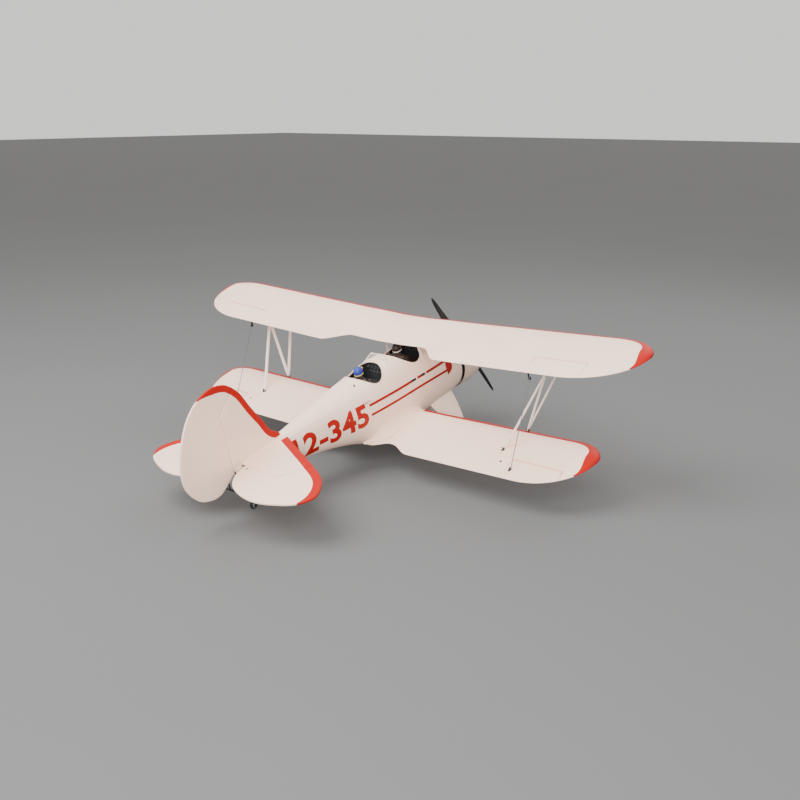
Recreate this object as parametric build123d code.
from build123d import *
import os
from math import sin, cos, tan, radians, sqrt, pi

# Radio-controlled biplane, in millimetres.
# It is drawn in its level flight frame: X towards the nose, Y towards the left wing, Z up,
# with X zero at the upper wing's leading edge and Z zero at the lower wing's leading edge.
# Everything is then turned nose-up to stand on its three wheels, and moved so that the
# origin is at the middle of the bottom of the whole aeroplane.

stand_angle = 13.7          # nose-up angle on the ground, degrees
film_gap = 0.6              # gap beside a moving surface
wing_camber = 0.03
wing_incidence = 1.0        # degrees
root_half_width = 46        # dihedral starts here
root_sweep = (58, 112)      # between these the lower wing's root runs back into the fuselage

upper_wing = {"semi": 770, "x": 0, "z": 215.5, "chord": 235, "thick": 27, "dihedral": 2.74,
              "widest": 77.6, "tip_front": 113.7, "tip_back": 188.7,
              "cut": 59.4, "cut_in": 127, "cut_out": 212, "first": 0.15, "root_back": 0,
              "hinge_x": -175, "aileron": (493, 645)}
lower_wing = {"semi": 689.5, "x": -164.6, "z": 0, "chord": 223, "thick": 25.5, "dihedral": 1.29,
              "widest": 66.8, "tip_front": 85.6, "tip_back": 158.2,
              "cut": 31, "cut_in": 118, "cut_out": 192, "first": 36, "root_back": 27,
              "hinge_x": -323, "aileron": (493, 637)}

# fuselage stations: x, half width, top, bottom, squareness of the section
fuselage_stations = [
    (42, 91.7, 136, -47.4, 2.0),
    (-20, 90, 150, -53, 2.05),
    (-85, 86, 168, -55, 2.15),
    (-160, 82, 178, -55, 2.3),
    (-250, 79, 182, -53, 2.4),
    (-330, 73, 179, -38, 2.4),
    (-420, 62, 174, 5, 2.35),
    (-520, 47, 168, 40, 2.3),
    (-640, 29, 160, 65, 2.25),
    (-740, 15, 156, 77, 2.2),
    (-811, 6, 154, 86, 2.1)]
skin = 2.2

rear_opening = (-297, 50, 57)       # centre x, half length, half width
front_opening = (-135, 61, 64)
hatch = {"front": -206, "back": -378, "bottom": 119, "gap": 0.4}
hatch_screw = (-371, -30, 174)

# cowl profiles: x, radius round the thrust line
cowl_outside = [(54, 93.8), (70, 96.5), (95, 99.2), (118, 100), (138, 97.8), (150, 93.2),
                (157, 87), (159, 80)]
cowl_inside = [(157, 76), (154, 78), (150, 84), (140, 92.5), (118, 98.3), (95, 97.6), (70, 94.9),
               (54, 92.2)]
thrust_z = 44.3
prop_x = 180
prop_radius = 177.8
prop_lean = 35.0                    # blade's angle from upright, towards the left
# blade sections: distance from the axis, width, thickness, pitch angle
blade_sizes = [(6, 12, 9, 60), (18, 20, 9, 48), (40, 27, 6, 34), (75, 28.5, 4.2, 24),
               (115, 24, 3, 17), (150, 18, 2.2, 13), (170, 12, 1.6, 11), (prop_radius, 5, 1, 10)]

stab_z = 149.4
tail_thick = 6.0
elevator_x = -789.0
rudder_x = -818.0
tail_inner = 18.0
elevator_curve = [(-741.5, 227.2), (-771.5, 259.5), (-818, 280.3), (-858.6, 258.7), (-884, 210),
                  (-897, 160), (-893, 110), (-872, 58), (-838, 29), (-806, 20)]
fin_curve = [(-664, 184), (-688.4, 224.8), (-715.3, 276.4), (-737, 325)]
rudder_curve = [(-779, 370.4), (-818, 380.2), (-866.7, 369.2), (-908.4, 337.7), (-940.9, 288.8),
                (-961.7, 231.8), (-963, 177.9), (-936, 131), (-900, 111), (-868, 109.3),
                (-834.7, 128)]

strut_chord = 10.5
strut_thick = 5.5
axle = (-58, 121.9)                 # x and depth below the datum
wheel_y = 142
wheel_radius = 40
# main leg sections: centre x, y, z, length fore and aft, thickness
leg_sections = [(-50, 52, 4, 124, 16), (-46, 64, -22, 110, 13), (-39, 88, -66, 86, 10),
                (-46, 116, -112, 64, 9), (-50, 120, -127, 36, 7)]
tail_axle = (-780.8, 25.2)
tail_wheel_radius = 11.2
caster = 14                         # the fork's pivot is this far ahead of the tail axle

pin_radius = 1.0
rod_feet = {"lower": (-355, 505, 18.5), "upper": (-227, 505, 214)}

nodes = {}


def smooth(t):
    t = min(max(t, 0), 1)
    return t * t * (3 - 2 * t)


# ---------------------------------------------------------------- wings

def wing_edges(wing, y):
    """Leading and trailing edge x at span station y."""
    lead = wing["x"]
    trail = wing["x"] - wing["chord"] + wing["cut"] * (
        1 - smooth((y - wing["cut_in"]) / (wing["cut_out"] - wing["cut_in"])))
    trail -= wing["root_back"] * (1 - smooth((y - root_sweep[0]) / (root_sweep[1] - root_sweep[0])))
    wide_x = wing["x"] - wing["widest"]
    front = (y - wing["semi"] + wing["tip_front"]) / wing["tip_front"]
    back = (y - wing["semi"] + wing["tip_back"]) / wing["tip_back"]
    if front > 0:
        lead = wide_x + wing["widest"] * sqrt(max(0, 1 - front ** 2))
    if back > 0:
        trail = wide_x - (wing["chord"] - wing["widest"]) * sqrt(max(0, 1 - back ** 2))
    return lead, trail


def wing_rise(wing, y):
    return wing["z"] + max(0, abs(y) - root_half_width) * tan(radians(wing["dihedral"]))


def chord_z(wing, x, y):
    """Height of the wing's chord line at x, y."""
    return wing_rise(wing, y) - (wing["x"] - x) * tan(radians(wing_incidence))


def half_thickness(f, thick):
    shape = 0.2969 * sqrt(f) - 0.126 * f - 0.3516 * f ** 2 + 0.2843 * f ** 3 - 0.1015 * f ** 4
    return 5 * thick * shape + 0.3 * f


def wing_section(wing, y):
    """Closed aerofoil wire at span station y."""
    lead, trail = wing_edges(wing, y)
    chord = lead - trail
    thick = wing["thick"] * min(1, chord / (wing["chord"] * 0.62)) ** 0.8
    steps = 11
    around = []
    for k in range(-steps, steps + 1):
        f = 0.5 * (1 - cos(pi * k / steps))
        side = 1 if k < 0 else -1
        x = lead - f * chord
        mean = 4 * wing_camber * chord * f * (1 - f) * 0.9
        z = chord_z(wing, x, y) + mean + side * half_thickness(f, thick)
        around.append((x, y, z))
    skin_edge = Spline(*around)
    back_edge = Line(around[-1], around[0])
    return Wire([skin_edge, back_edge])


def wing_half(wing):
    """Left half of a wing, with its rounded tip."""
    semi, back = wing["semi"], wing["tip_back"]
    middle = [wing["cut_in"] + (wing["cut_out"] - wing["cut_in"]) * k / 4 for k in range(5)]
    tip = [semi - back * d for d in (1, 0.8, 0.6, 0.45, 0.32, 0.21, 0.13, 0.07, 0.03, 0.008, 0.001)]
    start, end = root_sweep
    root = [start + (end - start) * k / 4 for k in range(5)] if wing["root_back"] else []
    stations = sorted({wing["first"], root_half_width, *root, *middle, *tip, 300})
    return Solid.make_loft([wing_section(wing, y) for y in stations], True)


def hinge_point(wing, y):
    """Point on the aileron's hinge axis, in the middle of the section."""
    x = wing["hinge_x"]
    lead, trail = wing_edges(wing, y)
    f = (lead - x) / (lead - trail)
    return Vector(x, y, chord_z(wing, x, y) + 4 * wing_camber * (lead - trail) * f * (1 - f) * 0.9)


def hinge_axis(wing):
    inner, outer = wing["aileron"]
    base = hinge_point(wing, inner)
    slope = tan(radians(wing["dihedral"]))
    return base, Vector(0, 1, slope).normalized()


def rod_between(start, end, radius):
    start, end = Vector(*start), Vector(*end)
    plane = Plane(origin=start, z_dir=(end - start))
    return extrude(plane * Circle(radius), (end - start).length)


def split_aileron(wing, panel):
    """Cut the aileron out of a left wing panel. Returns the panel and the aileron."""
    inner, outer = wing["aileron"]
    base, along = hinge_axis(wing)
    x = wing["hinge_x"]
    f = (wing["x"] - x) / wing["chord"]
    nose = half_thickness(f, wing["thick"]) - 0.15
    width = outer - inner
    mid = (inner + outer) / 2
    height = 120
    bay = Pos(x + nose + film_gap - 200, mid, base.Z) * Box(400, width, height)
    blade = panel & (Pos(x - 200, mid, base.Z) * Box(400, width - 2 * film_gap, height))
    start = base + along * (film_gap / along.Y)
    nose_bar = rod_between(start, start + along * ((width - 2 * film_gap) / along.Y), nose)
    nose_bar &= Pos(x, mid, base.Z) * Box(60, width - 2 * film_gap, height)
    return panel - bay, blade + nose_bar


# ---------------------------------------------------------------- fuselage

def fuselage_section(station, inset):
    x, half, top, bottom, square = station
    half, top, bottom = half - inset, top - inset, bottom + inset
    middle, rise = (top + bottom) / 2, (top - bottom) / 2
    around = []
    for k in range(24):
        a = 2 * pi * k / 24
        c, s = cos(a), sin(a)
        y = half * abs(c) ** (2 / square) * (1 if c > 0 else -1)
        z = middle + rise * abs(s) ** (2 / square) * (1 if s > 0 else -1)
        around.append((x, y, z))
    return Wire([Spline(*around, periodic=True)])


def fuselage_body(inset):
    return Solid.make_loft([fuselage_section(s, inset) for s in fuselage_stations], False)


def oval_cut(opening):
    x, half_length, half_width = opening
    return extrude(Pos(x, 0, 130) * Ellipse(half_length, half_width), 100)


def box_between(low, high):
    size = [b - a for a, b in zip(low, high)]
    centre = [(a + b) / 2 for a, b in zip(low, high)]
    return Pos(*centre) * Box(*size)


def spun(points, origin, direction):
    return revolve(make_face(Polyline(*points, close=True)), Axis(origin, direction), 360)


def mirrored(shape):
    return mirror(shape, Plane.XZ)


def largest(shape):
    return max(shape.solids(), key=lambda s: s.volume)


def group(*shapes):
    """Separate solids kept together in one node."""
    return Compound([solid for shape in shapes for solid in shape.solids()])


# ---------------------------------------------------------------- wings and their fittings

def tail_plate(outline, thick):
    """Flat tail surface from points and rounded stretches drawn in its own plane."""
    return extrude(outline, thick / 2, both=True)


def make_wings(hull):
    """Wing panels and their joiner tubes. Returns the left ailerons and the lower joiner's bore."""
    upper_left, upper_aileron = split_aileron(upper_wing, wing_half(upper_wing))
    lower_left, lower_aileron = split_aileron(lower_wing, wing_half(lower_wing))
    joiners = {}
    for name, wing, reach in (("upper", upper_wing, 190), ("lower", lower_wing, 180)):
        x = wing["x"] - 0.3 * wing["chord"]
        z = chord_z(wing, x, 0) + 5.5
        tube = Cylinder(5, 2 * reach) - Cylinder(4, 2 * reach)
        joiners[name] = Pos(x, 0, z) * Rot(90, 0, 0) * tube
        joiners[name + "_bore"] = Pos(x, 0, z) * Rot(90, 0, 0) * Cylinder(5.05, 2 * reach)
    upper_left -= joiners["upper_bore"]
    lower_left = largest(lower_left - joiners["lower_bore"] - hull)
    for name, panel in (("upper_wing", upper_left), ("lower_wing", lower_left)):
        nodes[name + "_left"] = panel
    nodes["upper_wing_joiner"] = joiners["upper"]
    nodes["lower_wing_joiner"] = joiners["lower"]
    return upper_aileron, lower_aileron, joiners["lower_bore"]


def make_aileron_servos():
    """Servo let into the underside of each lower wing, with its cover plate flush."""
    servo = {"y": 430, "size": (24, 12, 11)}
    x = lower_wing["x"] - 0.38 * lower_wing["chord"]
    z = chord_z(lower_wing, x, servo["y"]) - 1.5
    pocket = Pos(x, servo["y"], z) * Box(*[s + 0.4 for s in servo["size"]])
    nodes["lower_wing_left"] -= pocket
    body = Pos(x, servo["y"], z) * Box(*servo["size"])
    nodes["aileron_servos"] = group(body, mirrored(body))


def add_horn(aileron, name):
    """Control horn with the pin that the slave rod turns on."""
    x, y, z = rod_feet[name]
    along = hinge_axis(upper_wing if name == "upper" else lower_wing)[1]
    low, high = (z - 3, z + 22) if name == "upper" else (z - 16.5, z + 2)
    plate = box_between((x - 3, y - 1.2, low), (x + 3, y + 0.6, high))
    pin = rod_between(Vector(x, y, z), Vector(x, y, z) + along * 6, pin_radius)
    return plate - aileron + pin


def make_slave_rod():
    """Steel rod from the lower horn's pin to the upper horn's pin."""
    low, high = Vector(*rod_feet["lower"]), Vector(*rod_feet["upper"])
    low_along, high_along = hinge_axis(lower_wing)[1], hinge_axis(upper_wing)[1]
    low_eye = low + low_along * 3.2
    high_eye = high + high_along * 3.2
    way = (high_eye - low_eye).normalized()
    shaft = rod_between(low_eye + way * 2.2, high_eye - way * 4.2, 1.0)
    eyes = []
    for point, along, bore, wall in ((low_eye, low_along, 1.05, 2.8), (high_eye, high_along, 2.7, 4.6)):
        start = point - along * 1.2
        eye = rod_between(start, start + along * 2.4, wall)
        hole = rod_between(start - along, start + along * 4, bore)
        eyes.append((eye, hole))
    rod = shaft + eyes[0][0] + eyes[1][0] - eyes[0][1] - eyes[1][1]
    return largest(rod)


def strut_between(start, end):
    """Strut of streamlined section, its long side fore and aft."""
    start, end = Vector(*start), Vector(*end)
    way = (end - start).normalized()
    fore = (Vector(1, 0, 0) - way * way.X).normalized()
    plane = Plane(origin=start, x_dir=fore, z_dir=way)
    return extrude(plane * Ellipse(strut_chord / 2, strut_thick / 2), (end - start).length)


strut_points = {"front_foot": (-174, 450.4, 19.5), "rear_foot": (-290.5, 445.3, 17.5),
                "front_top": (-20, 523, 230), "rear_top": (-124, 521, 228),
                "diagonal_top": (-144, 519, 227)}


def make_wing_struts():
    both_wings = [nodes["upper_wing_left"], nodes["lower_wing_left"]]
    brackets = []
    for point in ("front_foot", "rear_foot", "front_top", "rear_top"):
        x, y, z = strut_points[point]
        if point == "rear_top":
            x -= 10
        length = 30 if point == "rear_top" else 17
        bracket = Pos(x, y, z) * Box(length, 9, 13)
        for wing in both_wings:
            bracket -= wing
        brackets.append(largest(bracket))
    struts = []
    ends = (("front_foot", "front_top"), ("rear_foot", "rear_top"), ("front_foot", "diagonal_top"))
    for foot, top in ends:
        strut = strut_between(strut_points[foot], strut_points[top])
        for other in both_wings + brackets + struts:
            strut -= other
        struts.append(largest(strut))
    nodes["n_strut_left"] = group(*struts)
    nodes["n_strut_right"] = mirrored(group(*struts))
    nodes["strut_brackets"] = group(*brackets, *[mirrored(b) for b in brackets])


def make_cabane(hull):
    struts = []
    for foot_x, foot_z, top_x in ((-8, 118, -24), (-104, 128, -114), (-28, 118, -92)):
        strut = strut_between((foot_x, 66, foot_z), (top_x, 52, 222))
        struts.append(largest(strut - hull - nodes["upper_wing_left"]))
    nodes["cabane_struts"] = group(*struts, *[mirrored(s) for s in struts])


# ---------------------------------------------------------------- fuselage group

def make_fuselage(hull, hollow, joiner_bore):
    shell = hull - hollow
    shell -= oval_cut(rear_opening)
    shell -= oval_cut(front_opening)
    shell -= joiner_bore
    shell -= box_between((-900, -60, stab_z - tail_thick / 2), (-633.5, 60, stab_z + tail_thick / 2))
    shell -= box_between((-900, -tail_thick / 2, stab_z), (-652, tail_thick / 2, 200))
    shell -= Pos(elevator_x, 0, stab_z) * Rot(90, 0, 0) * Cylinder(5, 60)
    section = box_between((hatch["back"], -120, hatch["bottom"]), (hatch["front"], 120, 260))
    gap = hatch["gap"]
    low_corner = (hatch["back"] - gap, -120, hatch["bottom"] - gap)
    room = box_between(low_corner, (hatch["front"] + gap, 120, 260))
    nodes["cockpit_hatch"] = largest(shell & section)
    nodes["fuselage_shell"] = largest(shell - room)


def make_cockpit(name, hollow, x_back, x_front, floor_z, panel_x):
    floor = box_between((x_back, -90, floor_z), (x_front, 90, floor_z + 1.5)) & hollow
    dash = box_between((panel_x, -90, floor_z + 1.5), (panel_x + 1.6, 90, 250)) & hollow
    nodes[name + "_cockpit_tub"] = largest(floor + dash)


def make_pilot(name, x, floor_z, head_z):
    """Seated bust: shoulders, neck, and a head in its flying helmet."""
    shoulder_z = head_z - 21
    bust = Pos(x, 0, floor_z) * extrude(Ellipse(13, 25), shoulder_z - floor_z, taper=6)
    neck = Pos(x, 0, head_z - 17) * Cylinder(6.5, 16)
    head = Pos(x, 0, head_z) * Sphere(14.5)
    nodes[name + "_pilot"] = bust + neck + head


def make_windscreen(name, x, top, hull):
    """Three flat clear panes standing on the deck ahead of a cockpit."""
    thick = 0.8
    plan = [(x - 30, 46), (x, 20), (x, -20), (x - 30, -46)]
    inside = [(px - thick * 1.3, py * 0.985) for px, py in reversed(plan)]
    screen = extrude(Pos(0, 0, 140) * make_face(Polyline(*plan, *inside, close=True)), top - 140)
    nodes[name + "_windscreen"] = largest(screen - hull)


def make_power_group():
    """Firewall, motor, dummy engine, cowl and propeller, along the thrust line."""
    centre, ahead = (0, 0, thrust_z), (1, 0, 0)

    def turned(points):
        return spun([(x, 0, thrust_z + r) for x, r in points], centre, ahead)

    firewall = turned([(42, 0), (46, 0), (46, 86), (42, 86)])
    for k in range(4):
        block = box_between((46, -6, thrust_z + 78), (60, 6, thrust_z + 90))
        firewall += block.rotate(Axis(centre, ahead), 45 + 90 * k)
    nodes["firewall"] = firewall
    nodes["engine_cowl"] = turned(cowl_outside + cowl_inside)
    plate = turned([(92, 4), (96, 4), (96, 40), (92, 40)])
    for k in range(4):
        a = radians(45 + 90 * k)
        y, z = 30 * sin(a), thrust_z + 30 * cos(a)
        plate += rod_between((46, y, z), (92, y, z), 4)
    nodes["motor_mount"] = plate
    nodes["motor_stator"] = turned([(96, 4), (102, 4), (102, 20), (96, 20)])
    bell = turned([(103, 0), (103, 24), (106, 25), (134, 25), (138, 21), (138, 0)])
    nodes["motor_bell"] = bell + rod_between((80, 0, thrust_z), (200, 0, thrust_z), 3)
    case = [(96, 28), (142, 28), (142, 6), (152, 6), (153, 14), (146, 36), (142, 38), (96, 38)]
    nodes["dummy_crankcase"] = turned(case)
    cylinders = []
    for k in range(7):
        barrel = Pos(119, 0, thrust_z + 58) * Cylinder(11, 40)
        for ring in range(8):
            barrel += Pos(119, 0, thrust_z + 44 + 4 * ring) * Cylinder(13, 1.6)
        barrel += Pos(126, 0, thrust_z + 80) * Box(6, 9, 8)
        cylinders.append(barrel.rotate(Axis(centre, ahead), 360 * k / 7))
    cylinders = [largest(c - nodes["dummy_crankcase"]) for c in cylinders]
    nodes["dummy_cylinders"] = group(*cylinders)
    make_propeller(turned)


def make_propeller(turned):
    """Two-blade propeller with twisted blades, and its washer and nut."""
    hub = turned([(173, 3), (187, 3), (187, 12), (173, 12)])
    sections = []
    for reach, wide, thick, pitch in blade_sizes:
        plane = Plane(origin=(prop_x, 0, thrust_z + reach), x_dir=(1, 0, 0), z_dir=(0, 0, 1))
        sections.append((plane * Rot(0, 0, 90 + pitch) * Ellipse(wide / 2, thick / 2)).wire())
    blade = Solid.make_loft(sections, True)
    propeller = hub
    for turn in (0, 180):
        propeller += blade.rotate(Axis((0, 0, thrust_z), (1, 0, 0)), turn - prop_lean)
    bore = rod_between((160, 0, thrust_z), (200, 0, thrust_z), 3)
    nodes["propeller"] = largest(propeller - bore)
    nut = turned([(187, 3), (189, 3), (189, 10), (187, 10)])
    hexagon = Plane(origin=(189, 0, thrust_z), z_dir=(1, 0, 0)) * (RegularPolygon(7, 6) - Circle(3))
    nodes["propeller_nut"] = nut + extrude(hexagon, 7) + turned([(196, 3), (199, 3), (196, 6)])


def make_equipment(hollow):
    """Tray, battery and radio gear in the bay under the cockpits."""
    tray = box_between((-250, -52, -24), (34, 52, -21)) & hollow
    nodes["equipment_tray"] = largest(tray)
    nodes["battery"] = box_between((-88, -22, -21), (20, 22, 9))
    nodes["speed_controller"] = box_between((-70, 27, -21), (-8, 51, -10))
    nodes["receiver"] = box_between((-140, -13, -21), (-98, 13, -8))
    servo = box_between((-196, 8, -21), (-156, 28, 17)) + Pos(-184, 18, 20) * Cylinder(3, 6)
    nodes["tail_servos"] = group(servo, mirrored(servo))


# ---------------------------------------------------------------- tail

def make_level_tail():
    hinge, inner, corner = elevator_x, tail_inner, 135.5
    split = (-714.3, 178.4)
    gap = film_gap + tail_thick / 2
    side = [(-634, inner), split, (hinge + gap, corner), (hinge + gap, 0), (-634, 0)]
    half = Pos(0, 0, stab_z) * tail_plate(make_face(Polyline(*side, close=True)), tail_thick)
    nodes["stabilizer"] = half + mirrored(half)
    shift = 0.9
    start = (split[0] - shift * 1.2, split[1] + shift)
    curve = Spline(start, *elevator_curve, (hinge, inner))
    straight = Polyline((hinge, inner), (hinge, corner + 1.4), start)
    blade = Pos(0, 0, stab_z) * tail_plate(make_face([curve, *straight.edges()]), tail_thick)
    blade += rod_between((hinge, inner, stab_z), (hinge, corner - 0.6, stab_z), tail_thick / 2)
    joiner = Pos(hinge, 0, stab_z) * Rot(90, 0, 0) * Cylinder(1.9, 2 * 40)
    nodes["elevator_left"] = blade - joiner
    horn = box_between((hinge - 14, -34, stab_z - 18), (hinge - 4, -32.4, stab_z - 2))
    nodes["elevator_right"] = mirrored(nodes["elevator_left"])
    nodes["elevator_joiner"] = group(joiner, largest(horn - nodes["elevator_right"]))


def make_upright_tail():
    hinge, gap = rudder_x, film_gap + tail_thick / 2
    split, corner_z, foot_z = (-755.8, 351.4), 298, stab_z + tail_thick / 2
    lead = Spline((-653, foot_z + 12), *fin_curve, split)
    back = Polyline(split, (hinge + gap, corner_z), (hinge + gap, foot_z), (-653, foot_z),
                    (-653, foot_z + 12))
    drawn = make_face([lead, *back.edges()])
    nodes["tail_fin"] = Plane.XZ * tail_plate(drawn, tail_thick)
    curve = Spline((split[0] - 1.1, split[1] + 0.9), *rudder_curve, (hinge, 140))
    back = Polyline((hinge, 140), (hinge, corner_z + 1.2), (split[0] - 1.1, split[1] + 0.9))
    blade = Plane.XZ * tail_plate(make_face([curve, *back.edges()]), tail_thick)
    blade += rod_between((hinge, 0, 140), (hinge, 0, corner_z - 0.6), tail_thick / 2)
    nodes["rudder"] = blade
    post = rod_between((-838, 0, 104), (-838, 0, 135), 2)
    arm = box_between((-841, -17, 104), (-835, 17, 106))
    nodes["rudder_horn"] = largest(post + arm - blade)


def caster_point(ahead, above):
    """Point beside the tail axle, measured in the fork's own upright frame."""
    lean = radians(stand_angle)
    x, z = tail_axle
    return (x + ahead * cos(lean) + above * sin(lean), 0, z - ahead * sin(lean) + above * cos(lean))


def make_tail_wheel(hull):
    """Leaf spring, steering fork and tail wheel. The pivot is upright when the aeroplane stands."""
    x, z = tail_axle
    lean = Axis((x, 0, z), (0, 1, 0))
    pivot_x = x + caster
    block = box_between((-716, -5, 66), (-690, 5, 90))
    leaf_line = [(-690, 68), (-716, 66), (-771, 46), (-771, 42.5), (-716, 62), (-690, 64.5)]
    leaf = Plane.XZ * extrude(make_face(Polyline(*leaf_line, close=True)), 5, both=True)
    eye = rod_between((pivot_x, 0, z + 17), (pivot_x, 0, z + 29), 5).rotate(lean, stand_angle)
    bore = rod_between((pivot_x, 0, z + 10), (pivot_x, 0, z + 40), 2.05).rotate(lean, stand_angle)
    nodes["tail_gear_spring"] = largest(block + leaf + eye - bore - hull)
    fork = rod_between((pivot_x, 0, z + 13), (pivot_x, 0, z + 31), 2)
    fork += box_between((x - 3, -7.2, z + 13), (pivot_x + 5, 7.2, z + 16.2))
    for low_y, high_y in ((-7.2, -5.8), (5.8, 7.2)):
        fork += box_between((x - 3, low_y, z - 3), (x + 5, high_y, z + 14))
    fork += rod_between((x, -7.2, z), (x, 7.2, z), 1.5)
    nodes["tail_wheel_fork"] = fork.rotate(lean, stand_angle)
    tyre = [(-4, 1.55), (4, 1.55), (4, 8), (3, 10.4), (0, tail_wheel_radius), (-3, 10.4), (-4, 8)]
    nodes["tail_wheel"] = spun([(x, across, z + r) for across, r in tyre], (x, 0, z), (0, 1, 0))


# ---------------------------------------------------------------- main gear

def make_main_gear(hull):
    x, depth = axle
    z = -depth
    sections = []
    for cx, cy, cz, long, thick in leg_sections:
        plane = Plane(origin=(cx, cy, cz), x_dir=(1, 0, 0), z_dir=(0, 0.45, -0.89))
        sections.append((plane * Ellipse(long / 2, thick / 2)).wire())
    leg = largest(Solid.make_loft(sections, True) - hull)
    nodes["gear_leg_left"] = leg
    pin = rod_between((x, 112, z), (x, 161, z), 2.5) + rod_between((x, 156, z), (x, 160, z), 5)
    pin = largest(pin - leg)
    nodes["wheel_axles"] = group(pin, mirrored(pin))
    half_hub = [(12, 2.55), (12, 9), (5, 11), (5, 24), (10, 25.5), (10, 28)]
    half_tyre = [(10, 28), (13, 32), (11.5, 37), (6, 39.4), (0, wheel_radius)]
    for name, half in (("wheel_hub_left", half_hub), ("tyre_left", half_tyre)):
        profile = half + [(-a, r) for a, r in reversed(half) if a]
        nodes[name] = spun([(x, wheel_y + a, z + r) for a, r in profile], (x, 0, z), (0, 1, 0))
    plate = box_between((-78, -34, -58), (28, 34, -40)) - hull
    nodes["gear_plate"] = largest(plate)


def make_hatch_screw(hull):
    """Screw that holds the hatch down, set into the deck on the right."""
    x, y, z = hatch_screw
    head = rod_between((x, y, z - 8), (x, y, z + 1.2), 2.4)
    nodes["hatch_screw"] = largest(head - hull)


# ---------------------------------------------------------------- the whole aeroplane

def build():
    hull, hollow = fuselage_body(0), fuselage_body(skin)
    upper_aileron, lower_aileron, joiner_bore = make_wings(hull)
    make_aileron_servos()
    for name, aileron in (("upper", upper_aileron), ("lower", lower_aileron)):
        both = group(largest(aileron), largest(add_horn(aileron, name)))
        nodes["aileron_" + name + "_left"] = both
        nodes["aileron_" + name + "_right"] = mirrored(both)
    nodes["slave_rod_left"] = make_slave_rod()
    make_wing_struts()
    make_cabane(hull)
    make_fuselage(hull, hollow, joiner_bore)
    make_cockpit("rear", hollow, hatch["back"] + 1, hatch["front"] - 1, 124, -244)
    make_cockpit("front", hollow, -200, -66, 118, -74)
    make_pilot("rear", -315, 125.5, 186)
    make_pilot("front", -135.5, 119.5, 174)
    make_windscreen("rear", -212, 198, hull)
    make_windscreen("front", -50, 184, hull)
    make_power_group()
    make_equipment(hollow)
    make_level_tail()
    make_upright_tail()
    make_tail_wheel(hull)
    make_main_gear(hull)
    make_hatch_screw(hull)
    for name in ("upper_wing", "lower_wing", "slave_rod", "gear_leg", "wheel_hub", "tyre"):
        nodes[name + "_right"] = mirrored(nodes[name + "_left"])


def standing(shape):
    """Turn nose-up about the Y axis, as it stands on its wheels."""
    return shape.rotate(Axis((0, 0, 0), (0, 1, 0)), -stand_angle)


build()
nodes = {name: standing(group(shape)) for name, shape in nodes.items()}
boxes = [shape.bounding_box() for shape in nodes.values()]
low = [min(tuple(box.min)[axis] for box in boxes) for axis in range(3)]
high = [max(tuple(box.max)[axis] for box in boxes) for axis in range(3)]
origin_shift = Vector(-(low[0] + high[0]) / 2, 0, -low[2])

os.makedirs("parts", exist_ok=True)
for name, shape in nodes.items():
    export_step(shape.moved(Location(origin_shift)), "parts/" + name + ".step")
print(len(nodes), "nodes, size", [round(b - a, 1) for a, b in zip(low, high)], "shift", origin_shift)
